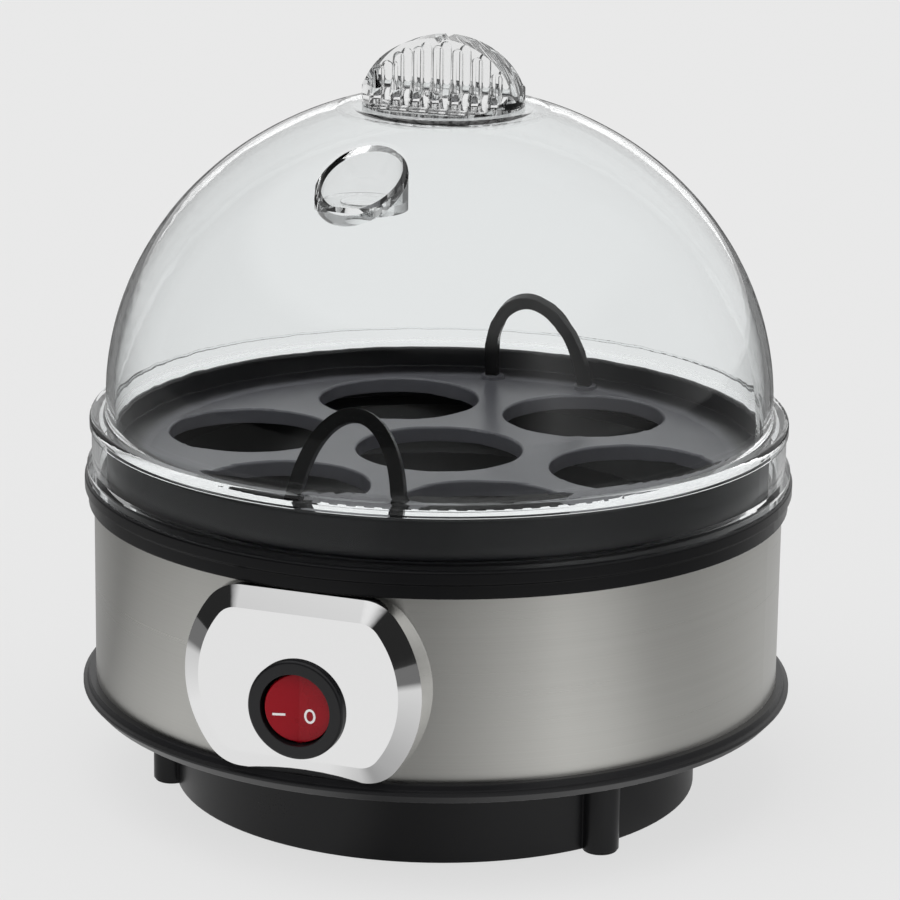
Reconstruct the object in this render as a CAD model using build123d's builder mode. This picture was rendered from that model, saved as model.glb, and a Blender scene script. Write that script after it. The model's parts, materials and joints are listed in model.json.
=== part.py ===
from build123d import *
import os
from math import atan2, cos, degrees, hypot, radians, sin, sqrt, tan

os.makedirs("parts", exist_ok=True)

# Electric egg cooker, in millimetres. The table is z = 0, the round body's axis is Z and the
# switch looks along -Y. Angles are counted from +X towards +Y.

# Feet, legs and pedestal
foot_height = 0.8
foot_radius = 4.2
foot_plug_radius = 2.0
foot_plug_length = 4.0
leg_radius = 4.5
leg_proud = 1.2
leg_count = 3
first_leg_angle = -32.4
pedestal_setback = 19.7
pedestal_wall = 2.0
pedestal_height = 22.7

# Flange under the steel band
flange_height = 4.7
flange_web = 2.5
flange_reach = 3.2
flange_foot_reach = 1.1
flange_ridge_reach = 2.2
flange_top_reach = 1.8
flange_bead_low = 2.3
flange_bead_high = 3.0
flange_ridge_height = 3.3
flange_foot_round = 0.6

# Steel band and the spigots that centre it
band_radius = 84.5
band_wall = 0.6
band_height = 44.4
band_opening_radius = 14.0
spigot_wall = 1.8
spigot_length = 6.0
spigot_fit = 0.2

# Collar on top of the band
collar_height = 6.7
collar_foot_reach = 1.4
collar_step_height = 3.1
collar_step_rise = 0.6
collar_lip_reach = 2.3
collar_lip_round = 0.6
ledge_width = 5.5
shelf_depth = 4.8
shelf_thickness = 2.0
shelf_width = 7.0
pillar_radius = 4.0
pillar_gap = 1.7
pillar_count = 3
first_pillar_angle = 90.0

# Water dish, its seal and its studs
rim_fit = 0.4
seal_thickness = 0.8
seal_inset = 0.8
plate_thickness = 1.2
dish_depth = 10.5
dish_wall_fit = 0.5
dish_slope_width = 9.5
stud_radius = 1.5
stud_end = 1.0
plate_stud_count = 3
first_plate_stud_angle = 30.0
nut_across_flats = 5.5
nut_height = 2.4
thread_fit = 0.05

# Heating parts under the dish
spreader_inset = 6.0
spreader_thickness = 3.0
tube_radius = 3.3
tube_inset = 11.0
tube_gap_half_angle = 20.0
tube_gap_angle = 30.0
tube_bend = 7.0
tube_drop = 5.5
brazing_gap = 0.1
pin_radius = 1.2
pin_length = 8.0
bead_radius = 3.0
bead_length = 4.0
thermostat_radius = 7.5
thermostat_height = 9.0
thermostat_ear_length = 30.0
thermostat_ear_width = 12.0
thermostat_ear_thickness = 0.8
thermostat_stud_spacing = 23.0
blade_width = 6.3
blade_thickness = 0.8
blade_length = 7.8
thermostat_blade_spacing = 8.0
fuse_radius = 2.0
fuse_length = 12.0
fuse_wire_radius = 0.6
fuse_wire_span = 26.0
fuse_offset = 18.0
sleeve_bore = 2.3
sleeve_wall = 0.8
sleeve_length = 24.0
clip_width = 8.0
clip_thickness = 0.6
clip_ear = 5.0

# Heat shield below the heating parts
shield_opening_radius = 30.0
shield_thickness = 0.5
shield_drop = 13.8
shield_stud_inset = 4.0
shield_stud_count = 3
first_shield_stud_angle = 0.0
spacer_radius = 3.0
tube_opening_radius = 5.5

# Switch plate, switch and rocker
plate_circle_radius = 29.3
plate_edge_gap = 0.3
plate_corner = 10.0
plate_face_reach = 4.8
plate_bevel_depth = 2.9
plate_bevel_width = 4.6
plate_wall = 1.8
plate_back_gap = 0.1
plate_screw_angle = 14.0
plate_boss_radius = 3.2
switch_drop = 5.1
bezel_radius = 11.75
bezel_height = 1.5
bezel_round = 0.6
switch_body_radius = 10.0
switch_body_length = 22.0
switch_hole_fit = 0.1
snap_lug_height = 0.8
rocker_radius = 8.35
rocker_fit = 0.25
rocker_pivot_depth = 4.0
rocker_end_height = 2.9
rocker_dish_angle = 8.0
rocker_tilt = 8.0
rocker_back = 2.5
rocker_floor_gap = 0.6
rocker_pin_radius = 1.2
rocker_pin_fit = 0.05
rocker_pin_end_gap = 0.4
mark_depth = 0.3
mark_stroke = 0.55
dash_length = 3.0
dash_place = -4.7
nought_width = 2.8
nought_height = 3.5
nought_place = 2.6
mark_drop = 1.7
switch_blade_width = 4.8
switch_blade_spacing = 8.0
switch_blade_length = 7.5
switch_blade_root = 4.0

# Egg tray and its two lifting loops
seat_gap = 0.3
tray_setback = 3.2
tray_wall = 1.8
tray_rim_height = 10.4
tray_floor_height = 4.6
tray_floor_thickness = 1.8
tray_edge_rise = 0.8
tray_flat_margin = 1.1
locating_wall = 1.5
locating_fit = 0.4
locating_depth = 2.0
egg_hole_edge = 9.6
egg_hole_web = 8.7
egg_hole_count = 6
first_egg_angle = 3.0
egg_lip_wall = 1.6
egg_lip_depth = 2.0
egg_hole_round = 0.6
handle_setback = 9.5
handle_half_span = 14.6
front_handle_angle = -87.2
rear_handle_angle = 89.0
handle_length = 26.0
handle_width = 3.4
handle_depth = 2.4
handle_lean = 19.8
handle_boss_radius = 3.0
handle_boss_height = 1.0
handle_peg_radius = 1.1
handle_peg_fit = 0.05

# Clear lid and knob
lid_wall = 2.0
lid_shoulder = 3.5
dome_flattening = 6.2
dome_straight = 6.6
dome_cut = 3.3
dome_top_round = 12.0
lid_flange_reach = 0.5
lid_flange_thickness = 2.9
lid_skirt_height = 11.8
lid_overhang = 0.5
lid_skirt_wall = 1.8
lid_bead_reach = 1.2
lid_bead_height = 1.9
lid_flange_round = 1.2
vent_inset = 36.8
vent_angle = -93.9
vent_radius = 9.5
vent_wall = 1.3
vent_floor_drop = 15.4
vent_hole_radius = 5.0
knob_radius = 19.6
knob_height = 16.3
knob_foot_height = 0.8
knob_flare_height = 5.5
knob_fin_low = 4.4
knob_fin_high = 3.9
knob_notch = 0.8
knob_gap = 0.1
knob_peg_radius = 4.0
flute_radius = 1.7
flute_depth = 1.2
flute_pitch = 5.0
flute_margin = 3.0

# Bottom cover
cover_recess = 1.6
cover_thickness = 2.4
cover_fit = 0.3
cover_boss_radius = 4.0
cover_boss_sink = 1.0
cover_boss_height = 14.0
cover_screw_count = 3
first_cover_screw_angle = 30.0

# Screws: shank, head and lengths under the head
screw_radius = 1.5
screw_hole_fit = 0.2
screw_head_radius = 2.8
screw_head_height = 1.5
screw_slot_width = 0.6
screw_slot_depth = 0.6
cover_screw_length = 12.0
clamp_screw_length = 10.0
collar_screw_length = 16.0
plate_screw_length = 5.0

# Mains inlet, cord clamp and terminal block
inlet_angle = 120.0
cord_radius = 3.2
inlet_bore_radius = 3.6
inlet_neck_radius = 5.0
inlet_neck_fit = 0.05
inlet_flange_radius = 7.0
inlet_flange_thickness = 2.0
inlet_catch_radius = 6.0
inlet_catch_thickness = 1.5
inlet_boss_radius = 8.5
inlet_boss_out = 0.8
inlet_boss_length = 4.0
bridge_width = 40.0
bridge_length = 27.0
clamp_post_radius = 3.2
clamp_spacing = 18.0
clamp_setback = 12.8
clamp_length = 26.0
clamp_width = 8.0
clamp_thickness = 3.0
clamp_height = 10.2
clamp_groove = 1.0
clamp_squeeze = 0.4
block_length = 30.0
block_width = 16.0
block_height = 12.0
block_setback = 14.8
block_pitch = 9.0
block_bore = 1.6
block_slot_width = 1.2
block_slot_depth = 4.0
block_peg_radius = 1.4
block_peg_inset = 2.6
block_screw_radius = 1.5
lead_radius = 1.1
lead_bend = 3.5
lead_entry = 4.0
lead_straight = 6.0
switch_lead_x = 22.0
switch_lead_y = 25.0
switch_lead_run = 14.0
blade_lead_y = 20.0
blade_lead_drop = 7.0
heater_lead_x = 10.0
heater_lead_y = 25.0
earth_lead_x = 48.0
earth_lead_y = 15.0
earth_tag_thickness = 0.8
earth_tag_radius = 3.6
earth_tag_width = 4.0
earth_tag_length = 12.0

# Heights and radii that follow from the sizes above
pedestal_z = foot_height
flange_z = pedestal_z + pedestal_height
web_z = flange_z + flange_web
band_z = flange_z + flange_height
band_top = band_z + band_height
ledge_z = band_top + collar_height
shelf_z = ledge_z - shelf_depth
shelf_under_z = shelf_z - shelf_thickness
seat_z = ledge_z + seat_gap
pedestal_radius = band_radius - pedestal_setback
pedestal_inner = pedestal_radius - pedestal_wall
leg_ring_radius = pedestal_radius + leg_proud
clamp_ring_radius = pedestal_inner - clamp_setback
block_ring_radius = pedestal_inner - block_setback
recess_radius = band_radius - ledge_width
shelf_inner_radius = recess_radius - shelf_width
band_inner = band_radius - band_wall
spigot_outer = band_inner - spigot_fit
spigot_inner = spigot_outer - spigot_wall
pillar_ring_radius = spigot_inner - pillar_gap - pillar_radius
seal_inner_radius = shelf_inner_radius + seal_inset
rim_radius = recess_radius - rim_fit
rim_z = shelf_z + seal_thickness
dish_rim_z = rim_z + plate_thickness
dish_floor_z = dish_rim_z - dish_depth
dish_under_z = dish_floor_z - plate_thickness
dish_wall_radius = shelf_inner_radius - dish_wall_fit
dish_floor_radius = dish_wall_radius - dish_slope_width
plate_stud_ring = (shelf_inner_radius + recess_radius) / 2
spreader_radius = dish_floor_radius - spreader_inset
spreader_z = dish_under_z - spreader_thickness
tube_ring_radius = spreader_radius - tube_inset
tube_z = spreader_z - brazing_gap - tube_radius
tube_end_z = tube_z - tube_bend - tube_drop
shield_radius = spreader_radius
shield_stud_ring = shield_radius - shield_stud_inset
shield_z = spreader_z - shield_drop
shield_under_z = shield_z - shield_thickness
thermostat_z = spreader_z - thermostat_height
blade_end_z = thermostat_z - blade_length
fuse_z = spreader_z - sleeve_bore - sleeve_wall - brazing_gap
cover_z = pedestal_z + cover_recess
cover_top = cover_z + cover_thickness
cover_boss_ring = pedestal_inner - cover_boss_radius + cover_boss_sink
clamp_z = pedestal_z + clamp_height
cord_z = clamp_z + cord_radius
tray_floor_z = seat_z + tray_floor_height
tray_under_z = tray_floor_z - tray_floor_thickness
tray_rim_z = seat_z + tray_rim_height
tray_radius = band_radius - tray_setback
tray_inner = tray_radius - tray_wall
egg_hole_radius = (tray_inner - egg_hole_edge - egg_hole_web) / 3
egg_hole_pitch = 2 * egg_hole_radius + egg_hole_web
handle_ring_radius = tray_inner - handle_setback
tray_flat_radius = egg_hole_pitch + egg_hole_radius + tray_flat_margin
loop_seat_z = tray_floor_z + handle_boss_height
skirt_top_z = seat_z + lid_skirt_height
lid_skirt_radius = band_radius + lid_overhang
lid_flange_radius = lid_skirt_radius + lid_flange_reach
dome_radius = lid_skirt_radius - lid_shoulder
dome_inner = dome_radius - lid_wall
dome_rise = dome_radius - dome_flattening
dome_base_z = skirt_top_z + dome_straight
dome_top_z = dome_base_z + dome_rise - dome_cut
vent_ring_radius = dome_radius - vent_inset
vent_floor_z = dome_top_z - vent_floor_drop
knob_z = dome_top_z + knob_gap
plate_centre_z = band_z + band_height / 2
switch_z = plate_centre_z - switch_drop
plate_face = band_radius + plate_face_reach
bezel_face = plate_face + bezel_height
pivot_y = rocker_pivot_depth - bezel_face
switch_back_y = switch_body_length - plate_face
screw_hole_radius = screw_radius + screw_hole_fit
pilot_radius = screw_radius + thread_fit
stud_hole_radius = stud_radius + thread_fit

bottom_up = (Align.CENTER, Align.CENTER, Align.MIN)
top_down = (Align.CENTER, Align.CENTER, Align.MAX)


def ring_edges(body, radius, height):
    """Circles of one radius that lie flat at one height."""
    circles = body.edges().filter_by(GeomType.CIRCLE)
    return [c for c in circles if abs(c.radius - radius) < 0.01 and abs(c.arc_center.Z - height) < 0.01]


def slotted_screw(length):
    """A pan head screw, head below z = 0 and shank above it."""
    with BuildPart() as screw:
        Cylinder(screw_head_radius, screw_head_height, align=top_down)
        fillet(ring_edges(screw, screw_head_radius, -screw_head_height), screw_head_height / 2)
        Cylinder(screw_radius, length, align=bottom_up)
        with Locations((0, 0, -screw_head_height)):
            Box(2 * screw_head_radius, screw_slot_width, screw_slot_depth, align=bottom_up, mode=Mode.SUBTRACT)
    return screw.part


def rear_point(x, y, z):
    """A point given with Y running out through the mains inlet."""
    turn = radians(inlet_angle - 90)
    return Vector(x * cos(turn) - y * sin(turn), x * sin(turn) + y * cos(turn), z)


def rear_plane(y, z):
    """A plane across the inlet's axis, looking outwards."""
    turn = radians(inlet_angle)
    outwards = Vector(cos(turn), sin(turn), 0)
    return Plane(origin=rear_point(0, y, z), x_dir=Vector(-sin(turn), cos(turn), 0), z_dir=outwards)


def lead(points):
    """An insulated lead along straight runs joined by tangent arcs."""
    corners = [Vector(*p) for p in points]
    with BuildPart() as wire:
        with BuildLine():
            FilletPolyline(*corners, radius=lead_bend)
        with BuildSketch(Plane(origin=corners[0], z_dir=corners[1] - corners[0])):
            Circle(lead_radius)
        sweep()
    return wire


rear = Location((0, 0, 0), (0, 0, inlet_angle - 90))

# Bottom housing: pedestal, flange, lower spigot, legs and inner bosses
with BuildPart() as bottom_housing:
    with BuildSketch(Plane.XZ):
        with BuildLine():
            Polyline(
                (pedestal_inner, pedestal_z),
                (pedestal_radius, pedestal_z),
                (pedestal_radius, flange_z),
                (band_radius + flange_foot_reach, flange_z),
                (band_radius + flange_reach, flange_z + flange_bead_low),
                (band_radius + flange_reach, flange_z + flange_bead_high),
                (band_radius + flange_ridge_reach, flange_z + flange_ridge_height),
                (band_radius + flange_top_reach, band_z),
                (spigot_outer, band_z),
                (spigot_outer, band_z + spigot_length),
                (spigot_inner, band_z + spigot_length),
                (spigot_inner, web_z),
                (pedestal_inner, web_z),
                close=True,
            )
        make_face()
    revolve(axis=Axis.Z)
    fillet(ring_edges(bottom_housing, band_radius + flange_foot_reach, flange_z), flange_foot_round)
    with Locations((0, 0, pedestal_z)):
        with PolarLocations(leg_ring_radius, leg_count, start_angle=first_leg_angle):
            Cylinder(leg_radius, pedestal_height, align=bottom_up)
        Cylinder(pedestal_inner, pedestal_height, align=bottom_up, mode=Mode.SUBTRACT)
        with PolarLocations(leg_ring_radius, leg_count, start_angle=first_leg_angle):
            Cylinder(
                foot_plug_radius + thread_fit, foot_plug_length + thread_fit, align=bottom_up, mode=Mode.SUBTRACT
            )
    with Locations((0, 0, cover_top)):
        with PolarLocations(cover_boss_ring, cover_screw_count, start_angle=first_cover_screw_angle):
            Cylinder(cover_boss_radius, cover_boss_height, align=bottom_up)
            Cylinder(pilot_radius, cover_screw_length, align=bottom_up, mode=Mode.SUBTRACT)
    with Locations((0, 0, flange_z)):
        with PolarLocations(pillar_ring_radius, pillar_count, start_angle=first_pillar_angle):
            Cylinder(screw_hole_radius, flange_web, align=bottom_up, mode=Mode.SUBTRACT)
    with Locations(rear):
        with Locations((0, pedestal_inner + pedestal_wall / 2, flange_z)):
            Box(bridge_width, bridge_length, flange_web, align=(Align.CENTER, Align.MAX, Align.MIN))
        with Locations((0, clamp_ring_radius, flange_z)):
            Box(
                clamp_width,
                clamp_width,
                flange_z - clamp_z - 2 * cord_radius + clamp_squeeze,
                align=top_down,
            )
            with GridLocations(clamp_spacing, 1, 2, 1):
                Cylinder(clamp_post_radius, flange_z - clamp_z, align=top_down)
        with Locations((0, clamp_ring_radius, clamp_z)):
            with GridLocations(clamp_spacing, 1, 2, 1):
                Cylinder(pilot_radius, clamp_screw_length, align=bottom_up, mode=Mode.SUBTRACT)
        with Locations((0, block_ring_radius, flange_z)):
            with GridLocations(block_length - 2 * block_peg_inset, 1, 2, 1):
                Cylinder(block_peg_radius + thread_fit, flange_web, align=bottom_up, mode=Mode.SUBTRACT)
    with BuildSketch(rear_plane(pedestal_radius + inlet_boss_out, cord_z)):
        Circle(inlet_boss_radius)
    extrude(amount=-inlet_boss_length)
    with BuildSketch(rear_plane(pedestal_radius + inlet_boss_out, cord_z)):
        Circle(inlet_neck_radius + inlet_neck_fit)
    extrude(amount=-inlet_boss_length, mode=Mode.SUBTRACT)
bottom_housing.part.label = "bottom_housing"
export_step(bottom_housing.part, "parts/bottom_housing.step")

# Rubber feet under the legs
with BuildPart() as rubber_feet:
    with PolarLocations(leg_ring_radius, leg_count, start_angle=first_leg_angle):
        Cylinder(foot_radius, foot_height, align=bottom_up)
    fillet(ring_edges(rubber_feet, foot_radius, 0), foot_height * 0.7)
    with Locations((0, 0, foot_height)):
        with PolarLocations(leg_ring_radius, leg_count, start_angle=first_leg_angle):
            Cylinder(foot_plug_radius, foot_plug_length, align=bottom_up)
rubber_feet.part.label = "rubber_feet"
export_step(rubber_feet.part, "parts/rubber_feet.step")

# Bottom cover and its screws
with BuildPart() as bottom_cover:
    with BuildSketch(Plane.XY.offset(cover_z)):
        Circle(pedestal_inner - cover_fit)
        with PolarLocations(cover_boss_ring, cover_screw_count, start_angle=first_cover_screw_angle):
            Circle(screw_hole_radius, mode=Mode.SUBTRACT)
    extrude(amount=cover_thickness)
bottom_cover.part.label = "bottom_cover"
export_step(bottom_cover.part, "parts/bottom_cover.step")

with BuildPart() as cover_screws:
    with Locations((0, 0, cover_z)):
        with PolarLocations(cover_boss_ring, cover_screw_count, start_angle=first_cover_screw_angle):
            add(slotted_screw(cover_screw_length))
cover_screws.part.label = "cover_screws"
export_step(cover_screws.part, "parts/cover_screws.step")

# Steel band
with BuildPart() as steel_band:
    with BuildSketch(Plane.XY.offset(band_z)):
        Circle(band_radius)
        Circle(band_inner, mode=Mode.SUBTRACT)
    extrude(amount=band_height)
    with BuildSketch(Plane(origin=(0, 0, switch_z), x_dir=(1, 0, 0), z_dir=(0, -1, 0))):
        Circle(band_opening_radius)
    extrude(amount=2 * band_radius, mode=Mode.SUBTRACT)
    for side in (-1, 1):
        turn = radians(-90 + side * plate_screw_angle)
        with BuildSketch(Plane(origin=(0, 0, plate_centre_z), z_dir=(cos(turn), sin(turn), 0))):
            Circle(screw_hole_radius)
        extrude(amount=2 * band_radius, mode=Mode.SUBTRACT)
steel_band.part.label = "steel_band"
export_step(steel_band.part, "parts/steel_band.step")

# Collar: outer lip, ledge for the tray and the lid, recess, shelf, spigot and screw pillars
with BuildPart() as upper_collar:
    with BuildSketch(Plane.XZ):
        with BuildLine():
            Polyline(
                (band_radius + collar_foot_reach, band_top),
                (band_radius + collar_foot_reach, band_top + collar_step_height),
                (band_radius + collar_lip_reach, band_top + collar_step_height + collar_step_rise),
                (band_radius + collar_lip_reach, ledge_z),
                (recess_radius, ledge_z),
                (recess_radius, shelf_z),
                (shelf_inner_radius, shelf_z),
                (shelf_inner_radius, shelf_under_z),
                (spigot_inner, shelf_under_z),
                (spigot_inner, band_top - spigot_length),
                (spigot_outer, band_top - spigot_length),
                (spigot_outer, band_top),
                close=True,
            )
        make_face()
    revolve(axis=Axis.Z)
    fillet(ring_edges(upper_collar, band_radius + collar_lip_reach, ledge_z), collar_lip_round)
    with Locations((0, 0, web_z)):
        with PolarLocations(pillar_ring_radius, pillar_count, start_angle=first_pillar_angle):
            Cylinder(pillar_radius, shelf_under_z - web_z, align=bottom_up)
            Cylinder(pilot_radius, collar_screw_length, align=bottom_up, mode=Mode.SUBTRACT)
    with Locations((0, 0, shelf_under_z)):
        with PolarLocations(plate_stud_ring, plate_stud_count, start_angle=first_plate_stud_angle):
            Cylinder(stud_hole_radius, shelf_thickness, align=bottom_up, mode=Mode.SUBTRACT)
upper_collar.part.label = "upper_collar"
export_step(upper_collar.part, "parts/upper_collar.step")

# Long screws from under the flange into the collar's pillars
with BuildPart() as collar_screws:
    with Locations((0, 0, flange_z)):
        with PolarLocations(pillar_ring_radius, pillar_count, start_angle=first_pillar_angle):
            add(slotted_screw(collar_screw_length))
collar_screws.part.label = "collar_screws"
export_step(collar_screws.part, "parts/collar_screws.step")

# Heating plate: the dish that holds the water
dish_slope = atan2(rim_z - dish_under_z, dish_wall_radius - dish_floor_radius)
dish_bend = plate_thickness * tan(dish_slope / 2)
with BuildPart() as heating_plate:
    with BuildSketch(Plane.XZ):
        with BuildLine():
            Polyline(
                (0, dish_under_z),
                (dish_floor_radius, dish_under_z),
                (dish_wall_radius, rim_z),
                (rim_radius, rim_z),
                (rim_radius, dish_rim_z),
                (dish_wall_radius - dish_bend, dish_rim_z),
                (dish_floor_radius - dish_bend, dish_floor_z),
                (0, dish_floor_z),
                close=True,
            )
        make_face()
    revolve(axis=Axis.Z)
heating_plate.part.label = "heating_plate"
export_step(heating_plate.part, "parts/heating_plate.step")

with BuildPart() as plate_seal:
    with BuildSketch(Plane.XY.offset(shelf_z)):
        Circle(rim_radius)
        Circle(seal_inner_radius, mode=Mode.SUBTRACT)
        with PolarLocations(plate_stud_ring, plate_stud_count, start_angle=first_plate_stud_angle):
            Circle(stud_hole_radius, mode=Mode.SUBTRACT)
    extrude(amount=seal_thickness)
plate_seal.part.label = "plate_seal"
export_step(plate_seal.part, "parts/plate_seal.step")

plate_stud_foot = shelf_under_z - 2 * nut_height - earth_tag_thickness - stud_end
with BuildPart() as plate_studs:
    with Locations((0, 0, rim_z)):
        with PolarLocations(plate_stud_ring, plate_stud_count, start_angle=first_plate_stud_angle):
            Cylinder(stud_radius, rim_z - plate_stud_foot, align=top_down)
plate_studs.part.label = "plate_studs"
export_step(plate_studs.part, "parts/plate_studs.step")

# Heat spreader brazed under the dish
with BuildPart() as heat_spreader:
    with BuildSketch(Plane.XY.offset(spreader_z)):
        Circle(spreader_radius)
    extrude(amount=spreader_thickness)
heat_spreader.part.label = "heat_spreader"
export_step(heat_spreader.part, "parts/heat_spreader.step")

# Tubular heating element: most of a ring, both ends bent down
tube_sides = {}
for side in (-1, 1):
    turn = radians(tube_gap_angle + side * tube_gap_half_angle)
    start = Vector(tube_ring_radius * cos(turn), tube_ring_radius * sin(turn), tube_z)
    inwards = Vector(side * sin(turn), -side * cos(turn), 0)
    tube_sides[side] = {
        "start": start,
        "middle": start + inwards * (tube_bend * sin(radians(45))) + Vector(0, 0, tube_bend * (cos(radians(45)) - 1)),
        "bend": start + inwards * tube_bend - Vector(0, 0, tube_bend),
    }
opposite = radians(tube_gap_angle + 180)
tube_back = Vector(tube_ring_radius * cos(opposite), tube_ring_radius * sin(opposite), tube_z)
drop = Vector(0, 0, -tube_drop)
with BuildPart() as heater_element:
    with BuildLine():
        Line(tube_sides[-1]["bend"] + drop, tube_sides[-1]["bend"])
        ThreePointArc(tube_sides[-1]["bend"], tube_sides[-1]["middle"], tube_sides[-1]["start"])
        ThreePointArc(tube_sides[-1]["start"], tube_back, tube_sides[1]["start"])
        ThreePointArc(tube_sides[1]["start"], tube_sides[1]["middle"], tube_sides[1]["bend"])
        Line(tube_sides[1]["bend"], tube_sides[1]["bend"] + drop)
    with BuildSketch(Plane(origin=tube_sides[-1]["bend"] + drop, z_dir=(0, 0, 1))):
        Circle(tube_radius)
    sweep()
heater_element.part.label = "heater_element"
export_step(heater_element.part, "parts/heater_element.step")

tube_ends = [tube_sides[side]["bend"] + drop for side in (-1, 1)]
with BuildPart() as heater_terminals:
    with Locations(*tube_ends):
        Cylinder(pin_radius, pin_length, align=top_down)
heater_terminals.part.label = "heater_terminals"
export_step(heater_terminals.part, "parts/heater_terminals.step")

with BuildPart() as heater_beads:
    with Locations(*tube_ends):
        Cylinder(bead_radius, bead_length, align=top_down)
        Cylinder(pin_radius + thread_fit, bead_length, align=top_down, mode=Mode.SUBTRACT)
heater_beads.part.label = "heater_beads"
export_step(heater_beads.part, "parts/heater_beads.step")

# Thermostat against the spreader
with BuildPart() as thermostat:
    with Locations((0, 0, spreader_z)):
        Cylinder(thermostat_radius, thermostat_height, align=top_down)
        Box(thermostat_ear_length, thermostat_ear_width, thermostat_ear_thickness, align=top_down)
        with GridLocations(thermostat_stud_spacing, 1, 2, 1):
            Cylinder(stud_hole_radius, thermostat_ear_thickness, align=top_down, mode=Mode.SUBTRACT)
thermostat.part.label = "thermostat"
export_step(thermostat.part, "parts/thermostat.step")

with BuildPart() as thermostat_terminals:
    with Locations((0, 0, thermostat_z)):
        with GridLocations(thermostat_blade_spacing, 1, 2, 1):
            Box(blade_thickness, blade_width, blade_length, align=top_down)
thermostat_terminals.part.label = "thermostat_terminals"
export_step(thermostat_terminals.part, "parts/thermostat_terminals.step")

with BuildPart() as thermostat_studs:
    with Locations((0, 0, spreader_z)):
        with GridLocations(thermostat_stud_spacing, 1, 2, 1):
            Cylinder(stud_radius, thermostat_ear_thickness + nut_height + stud_end, align=top_down)
thermostat_studs.part.label = "thermostat_studs"
export_step(thermostat_studs.part, "parts/thermostat_studs.step")

# Thermal fuse in its sleeve, held to the spreader by a spring clip
with BuildPart() as thermal_fuse:
    with Locations(Location((0, fuse_offset, fuse_z), (0, 90, 0))):
        Cylinder(fuse_radius, fuse_length)
        Cylinder(fuse_wire_radius, fuse_wire_span)
thermal_fuse.part.label = "thermal_fuse"
export_step(thermal_fuse.part, "parts/thermal_fuse.step")

with BuildPart() as fuse_sleeve:
    with BuildSketch(Plane(origin=(-sleeve_length / 2, fuse_offset, fuse_z), z_dir=(1, 0, 0))):
        Circle(sleeve_bore + sleeve_wall)
        Circle(sleeve_bore, mode=Mode.SUBTRACT)
    extrude(amount=sleeve_length)
fuse_sleeve.part.label = "fuse_sleeve"
export_step(fuse_sleeve.part, "parts/fuse_sleeve.step")

clip_inner = sleeve_bore + sleeve_wall + thread_fit
clip_outer = clip_inner + clip_thickness
with BuildPart() as fuse_clip:
    with BuildSketch(Plane(origin=(-clip_width / 2, fuse_offset, fuse_z), x_dir=(0, 1, 0), z_dir=(1, 0, 0))):
        Circle(clip_outer)
        Rectangle(2 * clip_outer, spreader_z - fuse_z, align=(Align.CENTER, Align.MIN))
        with Locations((0, spreader_z - fuse_z)):
            Rectangle(2 * (clip_outer + clip_ear), clip_thickness, align=(Align.CENTER, Align.MAX))
            Rectangle(2 * (clip_outer + clip_ear), clip_outer, align=(Align.CENTER, Align.MIN), mode=Mode.SUBTRACT)
        Circle(clip_inner, mode=Mode.SUBTRACT)
        Rectangle(2 * clip_inner, spreader_z - fuse_z, align=(Align.CENTER, Align.MIN), mode=Mode.SUBTRACT)
    extrude(amount=clip_width)
fuse_clip.part.label = "fuse_clip"
export_step(fuse_clip.part, "parts/fuse_clip.step")

# Heat shield on three studs with spacers
with BuildPart() as heat_shield:
    with BuildSketch(Plane.XY.offset(shield_under_z)):
        Circle(shield_radius)
        Circle(shield_opening_radius, mode=Mode.SUBTRACT)
        with PolarLocations(shield_stud_ring, shield_stud_count, start_angle=first_shield_stud_angle):
            Circle(stud_hole_radius, mode=Mode.SUBTRACT)
        with Locations(*[(end.X, end.Y) for end in tube_ends]):
            Circle(tube_opening_radius, mode=Mode.SUBTRACT)
    extrude(amount=shield_thickness)
heat_shield.part.label = "heat_shield"
export_step(heat_shield.part, "parts/heat_shield.step")

with BuildPart() as shield_studs:
    with Locations((0, 0, spreader_z)):
        with PolarLocations(shield_stud_ring, shield_stud_count, start_angle=first_shield_stud_angle):
            Cylinder(stud_radius, shield_drop + shield_thickness + nut_height + stud_end, align=top_down)
shield_studs.part.label = "shield_studs"
export_step(shield_studs.part, "parts/shield_studs.step")

with BuildPart() as shield_spacers:
    with BuildSketch(Plane.XY.offset(shield_z)):
        with PolarLocations(shield_stud_ring, shield_stud_count, start_angle=first_shield_stud_angle):
            Circle(spacer_radius)
            Circle(stud_hole_radius, mode=Mode.SUBTRACT)
    extrude(amount=shield_drop)
shield_spacers.part.label = "shield_spacers"
export_step(shield_spacers.part, "parts/shield_spacers.step")

# Hexagon nuts, all of one size: dish studs, earth tag, thermostat and heat shield
with BuildPart() as nut_blank:
    with BuildSketch():
        RegularPolygon(nut_across_flats / 2, 6, major_radius=False)
        Circle(stud_hole_radius, mode=Mode.SUBTRACT)
    extrude(amount=-nut_height)
earth_turn = radians(first_plate_stud_angle + 360 / plate_stud_count)
earth_x = plate_stud_ring * cos(earth_turn)
earth_y = plate_stud_ring * sin(earth_turn)
earth_tag_z = shelf_under_z - nut_height - earth_tag_thickness
with BuildPart() as hex_nuts:
    with Locations((0, 0, shelf_under_z)):
        with PolarLocations(plate_stud_ring, plate_stud_count, start_angle=first_plate_stud_angle):
            add(nut_blank.part)
    with Locations((earth_x, earth_y, earth_tag_z)):
        add(nut_blank.part)
    with Locations((0, 0, spreader_z - thermostat_ear_thickness)):
        with GridLocations(thermostat_stud_spacing, 1, 2, 1):
            add(nut_blank.part)
    with Locations((0, 0, shield_under_z)):
        with PolarLocations(shield_stud_ring, shield_stud_count, start_angle=first_shield_stud_angle):
            add(nut_blank.part)
hex_nuts.part.label = "hex_nuts"
export_step(hex_nuts.part, "parts/hex_nuts.step")

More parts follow.
